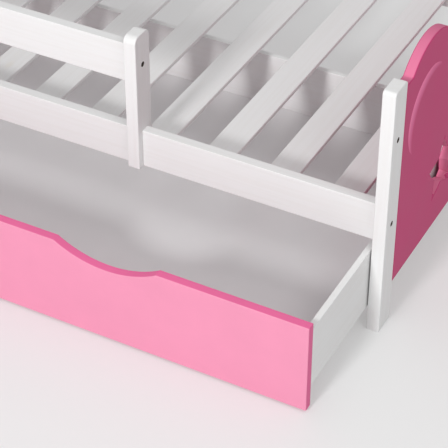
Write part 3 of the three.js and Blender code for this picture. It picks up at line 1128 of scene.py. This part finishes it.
@dataclass
class Drawer:
    """The drawer box: pink front, white sides, a foiled floor in grooves and two battens under it."""

    bench: Workbench
    front_finish: Finish
    box_finish: Finish
    floor_finish: Finish
    batten_finish: Finish
    front_arris: float = 1.8 * MM
    arris: float = 1.2 * MM
    floor_arris: float = 0.4 * MM
    batten_arris: float = 1.0 * MM
    notch_width: float = 210 * MM
    notch_depth: float = 30 * MM
    groove_play: float = 0.3 * MM

    def front_outline(self, low: Vector, high: Vector) -> list[Point2]:
        """The front's outline as (X, Z), with two finger notches at its quarter points."""
        half, depth = self.notch_width / 2, self.notch_depth
        radius = (half**2 + depth**2) / (2 * depth)
        swing = math.degrees(math.asin(half / radius))
        points = [(low.x, low.z), (high.x, low.z), (high.x, high.z)]
        for middle in (high.x / 2, low.x / 2):
            points += arc((middle, high.z - depth + radius), radius, -90 + swing, -90 - swing, 32)
        return points + [(low.x, high.z)]

    def groove(self) -> bpy.types.Mesh:
        """The space that the floor panel's edges need."""
        low, high = box_of("drawer_floor")
        play = Vector((self.groove_play,) * 3)
        return board("groove", low - play, high + play, 0.0)

    def build(self) -> None:
        """Makes the front, sides, back, floor and battens."""
        low, high = box_of("drawer_front")
        mesh = prism("front", self.front_outline(low, high), Axis.Y, (low.y, high.y), self.front_arris)
        self.bench.finish(
            carved(mesh, [self.groove()]), "drawer_front_lacquered", self.front_finish, Slot.PINK,
            Body.DRAWER.value, ["drawer_front"], Axis.X, Axis.Y,
        )
        walls = {"drawer_side_head": Axis.Y, "drawer_side_foot": Axis.Y, "drawer_back": Axis.X}
        for node, along in walls.items():
            mesh = carved(board(node, *box_of(node), self.arris), [self.groove()])
            self.bench.finish(
                mesh, node + "_painted", self.box_finish, Slot.WHITE, Body.DRAWER.value, [node], along
            )
        mesh = board("floor", *box_of("drawer_floor"), self.floor_arris)
        self.bench.finish(
            mesh, "drawer_floor_foiled", self.floor_finish, Slot.WHITE, Body.DRAWER.value,
            ["drawer_floor"], Axis.X,
        )
        for node in ("floor_batten_head", "floor_batten_foot"):
            mesh = board(node, *box_of(node), self.batten_arris)
            self.bench.finish(
                mesh, node + "_planed", self.batten_finish, Slot.BARE, Body.DRAWER.value, [node], Axis.Y
            )


@dataclass
class Castors:
    """The four fixed castors: a moulded fork, a wheel with a grooved tread and a riveted axle."""

    bench: Workbench
    plastic: Finish
    steel: Finish
    wheel_radius: float = 20 * MM
    tread_half: float = 6 * MM
    hub_half: float = 7.5 * MM
    hub_radius: float = 8 * MM
    axle_radius: float = 2.5 * MM
    play: float = 0.3 * MM
    foot: float = 8 * MM
    top_plate: float = 3 * MM

    def fork(self, where: str) -> None:
        """Makes one fork: two cheeks that taper down to the axle, under a plate."""
        node = "castor_fork_" + where
        low, high = box_of(node)
        mid = (low + high) / 2
        axle = low.z + self.foot
        cheek = [(low.y, high.z - self.top_plate), *arc((mid.y, axle), self.foot, 180, 360, 20),
                 (high.y, high.z - self.top_plate), (high.y, high.z), (low.y, high.z)]
        mesh = prism("fork", cheek, Axis.X, (low.x, high.x), 0.8 * MM)
        gap_low = Vector((mid.x - self.hub_half - self.play, low.y - 0.01, low.z - 0.01))
        gap_high = Vector((mid.x + self.hub_half + self.play, high.y + 0.01, high.z - self.top_plate))
        bore = self.axle_radius + self.play
        hole = turned(
            "bore", [(0, 0.0), (0, bore), (0.05, bore), (0.05, 0.0)], Vector((mid.x - 0.025, mid.y, axle)),
            Vector((1, 0, 0)), 24,
        )
        mesh = carved(mesh, [board("gap", gap_low, gap_high, 0.0), hole])
        self.bench.finish(
            mesh, node + "_moulded", self.plastic, Slot.PLASTIC, Body.DRAWER.value, [node], Axis.Z
        )

    def wheel(self, where: str) -> None:
        """Makes one wheel with two tread grooves and a dished side."""
        node = "castor_wheel_" + where
        mid = middle_of(node)
        r, t, h, bore = self.wheel_radius, self.tread_half, self.hub_half, self.axle_radius + self.play
        dish, groove = 2 * MM, 0.8 * MM
        side = [(h, bore), (h, self.hub_radius - MM), (h - 0.6 * MM, self.hub_radius),
                (t - dish, self.hub_radius + MM), (t - dish, r - 5.5 * MM), (t, r - 4.2 * MM),
                (t, r - 1.2 * MM), (t - 1.2 * MM, r),
                (2.6 * MM, r), (2.2 * MM, r - groove), (1.4 * MM, r - groove), (1.0 * MM, r)]
        profile = [(-a, b) for a, b in side] + [(a, b) for a, b in reversed(side)]
        mesh = turned("wheel", profile, mid, Vector((1, 0, 0)), 64)
        self.bench.finish(mesh, node + "_moulded", self.plastic, Slot.PLASTIC, node, [node], Axis.X)

    def axle(self, where: str) -> None:
        """Makes one axle with softly domed ends."""
        node = "castor_axle_" + where
        low, high = box_of(node)
        mid, half, r = (low + high) / 2, (high.x - low.x) / 2, self.axle_radius
        ends = [(half, 0.0), (half, r * 0.55), (half - 0.3 * MM, r * 0.85), (half - 0.8 * MM, r)]
        profile = [(-a, b) for a, b in ends] + [(a, b) for a, b in reversed(ends)]
        mesh = turned("axle", profile, mid, Vector((1, 0, 0)), 32)
        self.bench.finish(mesh, node + "_turned", self.steel, Slot.STEEL, Body.DRAWER.value, [node], Axis.X)

    def build(self) -> None:
        """Makes the four castors."""
        for where in ("head_front", "head_back", "foot_front", "foot_back"):
            self.fork(where)
            self.wheel(where)
            self.axle(where)


@dataclass
class Fasteners:
    """Bolts, barrel nuts, the post's screw and the dowels."""

    bench: Workbench
    steel: Finish
    bolt_steel: Finish
    wood: Finish
    head_radius: float = 5 * MM
    head_height: float = 5 * MM
    shank_radius: float = 3 * MM
    socket_radius: float = 2.3 * MM
    socket_depth: float = 3 * MM
    nut_radius: float = 5 * MM

    def hexagon(self, mouth: Vector, inward: Vector) -> bpy.types.Mesh:
        """The six-sided socket in a bolt's head."""
        return turned(
            "hex", [(-MM, 0.0), (-MM, self.socket_radius), (self.socket_depth, self.socket_radius),
                    (self.socket_depth, 0.0)], mouth, inward, 6,
        )

    def bolt(self, node: str, side: int) -> None:
        """Makes one socket-head bolt whose head looks along X."""
        low, high = box_of(node)
        mid = (low + high) / 2
        top = Vector((high.x if side > 0 else low.x, mid.y, mid.z))
        inward, length = Vector((-side, 0, 0)), high.x - low.x
        ease, r, s = 0.6 * MM, self.head_radius, self.shank_radius
        profile = [(0.0, 0.0), (0.0, r - ease), (ease, r), (self.head_height, r), (self.head_height, s),
                   (length - MM, s), (length, s - MM), (length, 0.0)]
        mesh = carved(turned("bolt", profile, top, inward, 40), [self.hexagon(top, inward)])
        self.bench.finish(mesh, node + "_plated", self.bolt_steel, Slot.STEEL, Body.BED.value, [node], Axis.X)

    def nut(self, node: str) -> None:
        """Makes one barrel nut with a screwdriver slot in its visible end."""
        low, high = box_of(node)
        mid, half = (low + high) / 2, (high.y - low.y) / 2
        inside = inward_side(node)
        face = Vector((mid.x, mid.y + inside * half, mid.z))
        ease = 0.5 * MM
        r = self.nut_radius
        length = 2 * half
        profile = [(0.0, 0.0), (0.0, r - ease), (ease, r), (length - ease, r), (length, r - ease),
                   (length, 0.0)]
        body = turned("nut", profile, face, Vector((0, -inside, 0)), 40)
        reach = Vector((r + MM, 1.5 * MM, 0.7 * MM))
        slot = board("slot", face - reach, face + reach, 0.0)
        hole = turned(
            "bore", [(0, 0.0), (0, 3.3 * MM), (14 * MM, 3.3 * MM), (14 * MM, 0.0)],
            Vector((mid.x - 7 * MM, middle_of(bolt_for(node)).y, mid.z)), Vector((1, 0, 0)), 24,
        )
        mesh = carved(body, [slot, hole])
        self.bench.finish(mesh, node + "_plated", self.steel, Slot.STEEL, Body.BED.value, [node], Axis.Y)

    def screw(self) -> None:
        """Makes the countersunk screw in the post's back tongue."""
        node = "barrier_post_screw"
        low, high = box_of(node)
        mid, length = (low + high) / 2, high.y - low.y
        top = Vector((mid.x, high.y, mid.z))
        profile = [(0.0, 0.0), (0.0, 4.2 * MM), (0.4 * MM, 4.4 * MM), (2.4 * MM, 2.2 * MM),
                   (length - 5 * MM, 2.2 * MM), (length, 0.0)]
        reach = Vector((0.5 * MM, 1.5 * MM, 2.4 * MM))
        cross = [board("cross", top - reach, top + reach, 0.0),
                 board("cross", top - reach.zyx, top + reach.zyx, 0.0)]
        mesh = carved(turned("screw", profile, top, Vector((0, -1, 0)), 36), cross)
        self.bench.finish(mesh, node + "_plated", self.steel, Slot.STEEL, Body.BED.value, [node], Axis.Y)

    def dowel(self, node: str) -> None:
        """Makes one fluted dowel with chamfered ends."""
        low, high = box_of(node)
        mid, half = (low + high) / 2, (high.y - low.y) / 2
        flutes, r = 16, (high.z - low.z) / 2
        outline = []
        for i in range(flutes * 4):
            angle = 2 * math.pi * i / (flutes * 4)
            depth = 0.35 * MM if i % 4 == 0 else 0.0
            outline.append((mid.x + (r - depth) * math.cos(angle), mid.z + (r - depth) * math.sin(angle)))
        mesh = prism("dowel", outline, Axis.Y, (mid.y - half, mid.y + half), 0.0)
        self.bench.finish(mesh, node + "_fluted", self.wood, Slot.BARE, Body.BED.value, [node], Axis.Y)

    def build(self) -> None:
        """Makes every fastener."""
        for end, side in (("foot", 1), ("head", -1)):
            for row in ("front", "back"):
                self.bolt(f"rail_bolt_{end}_{row}", side)
                self.nut(f"rail_nut_{end}_{row}")
                self.dowel(f"board_dowel_{end}_{row}")
        self.bolt("barrier_bolt_head", -1)
        self.bolt("barrier_bolt_post", 1)
        self.nut("barrier_nut_head")
        self.nut("barrier_nut_post")
        self.screw()


# ---------------------------------------------------------------- studio


@dataclass(frozen=True)
class StudioFloor(Finish):
    """A seamless pale floor, painted matt."""

    name: str = "matt_studio_floor"
    paint: str = "c4c4c4"
    own_light: float = 0.25

    def wire(self, tree: bpy.types.NodeTree) -> Settings:
        """Plain matt paint with a little light of its own, as an overlit backdrop has."""
        return {
            "Base Color": linear(self.paint),
            "Roughness": 0.9,
            "Emission Color": (1.0, 1.0, 1.0, 1.0),
            "Emission Strength": self.own_light,
        }


@dataclass
class Studio:
    """The floor, the lights and the camera."""

    floor_half: float = 40.0
    camera_azimuth: float = 28.05
    camera_elevation: float = 38.40
    lens: float = 135.0
    sensor: float = 36.0
    eye: tuple[float, float, float] = (1.6532, -2.4662, 2.0696)
    target: tuple[float, float, float] = (0.35, 0.0, 0.2)
    key_from: tuple[float, float, float] = (0.0, -1.0, 0.49)
    key_distance: float = 6.0
    key_size: float = 0.95
    key_power: float = 188.0
    fill_from: tuple[float, float, float] = (0.66, -0.42, 0.80)
    fill_distance: float = 5.0
    fill_size: float = 2.2
    fill_power: float = 36.0
    horizon: float = 0.3
    zenith: float = 0.5
    zenith_falloff: float = 2.0

    def floor(self) -> None:
        """Lays a wide pale floor."""
        made = bmesh.new()
        bmesh.ops.create_grid(made, x_segments=1, y_segments=1, size=self.floor_half)
        mesh = to_mesh(made, "studio_floor")
        mesh.materials.append(StudioFloor().material())
        floor = bpy.data.objects.new("studio_floor", mesh)
        bpy.context.scene.collection.objects.link(floor)

    def softbox(self, name: str, offset: Vector, size: float, power: float) -> None:
        """Hangs a round softbox that faces the bed.

        Args:
            name: the lamp's name.
            offset: where it hangs from the point that it faces.
            size: its diameter.
            power: its power in watts.
        """
        light = bpy.data.lights.new(name, "AREA")
        light.shape, light.size, light.energy = "DISK", size, power
        lamp = bpy.data.objects.new(name, light)
        bpy.context.scene.collection.objects.link(lamp)
        lamp.location = Vector(self.target) + offset
        lamp.rotation_mode = "QUATERNION"
        lamp.rotation_quaternion = (-offset).to_track_quat("-Z", "Y")

    def lights(self) -> None:
        """Adds a sky that is brightest overhead, as a lit ceiling is, and a key light from the front."""
        scene = bpy.context.scene
        world = bpy.data.worlds.new("studio")
        world.use_nodes = True
        tree = world.node_tree
        tree.nodes.clear()
        place = add_node(tree, "ShaderNodeTexCoord")
        split = add_node(tree, "ShaderNodeSeparateXYZ", {"Vector": place.outputs["Generated"]})
        above = math_of(tree, "MAXIMUM", split.outputs["Z"], 0.0)
        fall = math_of(tree, "POWER", above, self.zenith_falloff)
        glow = math_of(tree, "MULTIPLY_ADD", fall, self.zenith, self.horizon)
        sky = add_node(tree, "ShaderNodeBackground", {"Color": (1, 1, 1, 1), "Strength": glow})
        add_node(tree, "ShaderNodeOutputWorld", {"Surface": sky.outputs[0]})
        scene.world = world
        key_at = Vector(self.key_from).normalized() * self.key_distance
        self.softbox("key", key_at, self.key_size, self.key_power)
        fill_at = Vector(self.fill_from).normalized() * self.fill_distance
        self.softbox("fill", fill_at, self.fill_size, self.fill_power)
        scene.view_settings.view_transform = "Standard"

    def camera(self) -> None:
        """Stands the camera at its place with a long lens."""
        a, e = math.radians(self.camera_azimuth), math.radians(self.camera_elevation)
        back = Vector((math.sin(a) * math.cos(e), -math.cos(a) * math.cos(e), math.sin(e)))
        data = bpy.data.cameras.new("camera")
        data.lens, data.sensor_width = self.lens, self.sensor
        camera = bpy.data.objects.new("camera", data)
        bpy.context.scene.collection.objects.link(camera)
        camera.location = Vector(self.eye)
        camera.rotation_mode = "QUATERNION"
        camera.rotation_quaternion = (-back).to_track_quat("-Z", "Y")
        data.clip_start, data.clip_end = 0.05, 60.0
        bpy.context.scene.camera = camera

    def build(self) -> None:
        """Sets up the whole studio."""
        self.camera()
        self.floor()
        self.lights()


def main() -> None:
    """Builds every sub-assembly round the frame."""
    logging.basicConfig(level=logging.INFO, format="%(message)s")
    bench = Workbench()
    pine, pink = PaintedPine(), PaintedFibreboard()
    # painted shade: the end boards' faces take a deeper copy of the pink lacquer, standing for the shade on
    # them; their edges keep a paler pink near the drawer front's
    end_board_pink_with_painted_shade = PaintedFibreboard("satin_lacquer_with_painted_shade_on_end_boards", lacquer="c53070", edge="dd7499")
    bare, steel, plastic = BarePine(), ZincPlatedSteel(), MouldedPolypropylene()
    black_steel = ZincPlatedSteel("black_passivated_zinc_on_turned_steel", zinc="35363a", dull="242528")
    Studio().build()
    parts: list[Callable[[], None]] = [
        Upright(bench, pine).build,
        Rails(bench, pine).build,
        SlatDeck(bench, pine).build,
        EndBoards(bench, end_board_pink_with_painted_shade).build,
        Drawer(bench, pink, pine, FoiledHardboard(), bare).build,
        Castors(bench, plastic, steel).build,
        Fasteners(bench, steel, black_steel, bare).build,
    ]
    for build in parts:
        build()
    log.info("%d pieces", bench.made)


if __name__ == "__main__":
    main()
